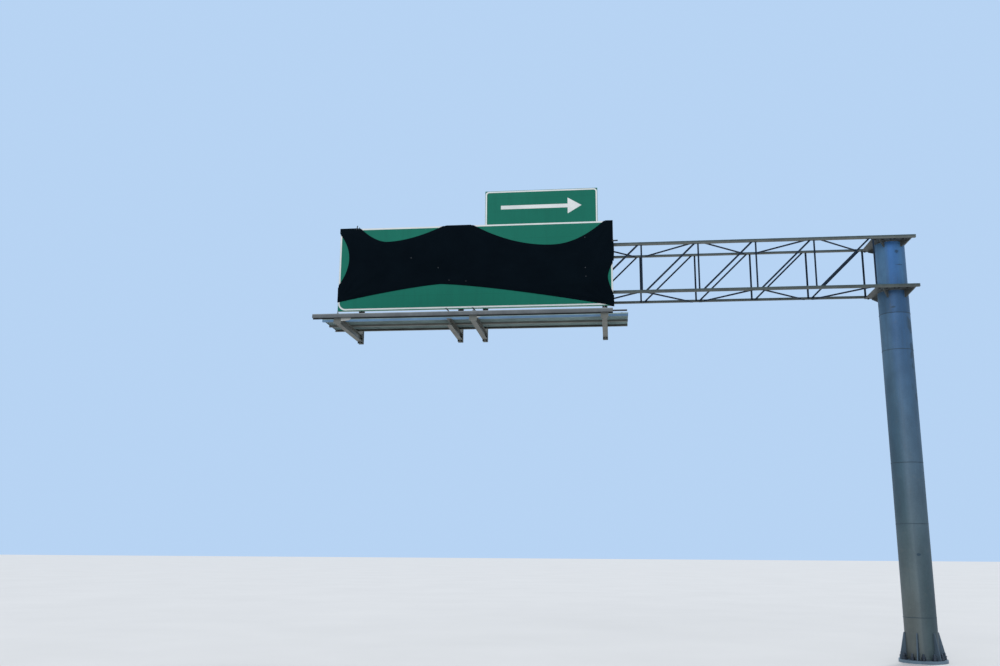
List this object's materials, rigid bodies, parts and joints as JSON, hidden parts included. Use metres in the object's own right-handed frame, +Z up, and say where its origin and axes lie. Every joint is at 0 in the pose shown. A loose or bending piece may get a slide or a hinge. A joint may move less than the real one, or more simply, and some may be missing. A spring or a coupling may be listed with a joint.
{
  "type": "overhead sign gantry",
  "caption": "Cantilever overhead sign gantry: round column on a bolted base, angle truss arm, plank sign panel under a cloth cover, exit panel, lighting rail and service walkway.",
  "frame": {"origin": "centre of the base plate's underside", "axes": "+Z up along the column, -Y towards the reader of the sign, -X out along the arm"},
  "size_m": [12.235, 2.922, 9.732],
  "materials": {
    "galvanised_plate": "matt galvanised",
    "galvanised_tube": "matt galvanised",
    "galvanised_angle": "matt galvanised",
    "galvanised_brace": "dark weathered galvanised",
    "galvanised_beam": "matt galvanised",
    "sign_face": "retroreflective sheeting on aluminium",
    "conduit": "galvanised",
    "grating": "galvanised",
    "cover_cloth": "woven dark cloth"
  },
  "bodies": {
    "root": {"base_plate": "galvanised_plate", "base_gussets": "galvanised_plate", "column": "galvanised_tube", "upper_seat_plate": "galvanised_plate", "lower_seat_plate": "galvanised_plate", "upper_seat_gussets": "galvanised_plate", "lower_seat_gussets": "galvanised_plate", "front_top_chord": "galvanised_angle", "back_top_chord": "galvanised_angle", "front_bottom_chord": "galvanised_angle", "back_bottom_chord": "galvanised_angle", "front_lattice": "galvanised_brace", "back_lattice": "galvanised_brace", "top_lattice": "galvanised_brace", "bottom_lattice": "galvanised_brace", "end_frame": "galvanised_brace", "hanger_1": "galvanised_beam", "hanger_2": "galvanised_beam", "hanger_3": "galvanised_beam", "hanger_4": "galvanised_beam", "bracket_1": "galvanised_beam", "bracket_2": "galvanised_beam", "bracket_3": "galvanised_beam", "bracket_4": "galvanised_beam", "sign_plank_1": "sign_face", "sign_plank_2": "sign_face", "sign_plank_3": "sign_face", "sign_plank_4": "sign_face", "sign_plank_5": "sign_face", "sign_plank_6": "sign_face", "sign_trim": "sign_face", "exit_plank_1": "sign_face", "exit_plank_2": "sign_face", "exit_plank_3": "sign_face", "exit_uprights": "galvanised_beam", "light_rail": "galvanised_beam", "light_conduit": "conduit", "walkway_front_stringer": "galvanised_beam", "walkway_mid_stringer": "galvanised_beam", "walkway_rear_stringer": "galvanised_beam", "walkway_grating": "grating", "sign_cover": "cover_cloth"}
  },
  "joints": []
}
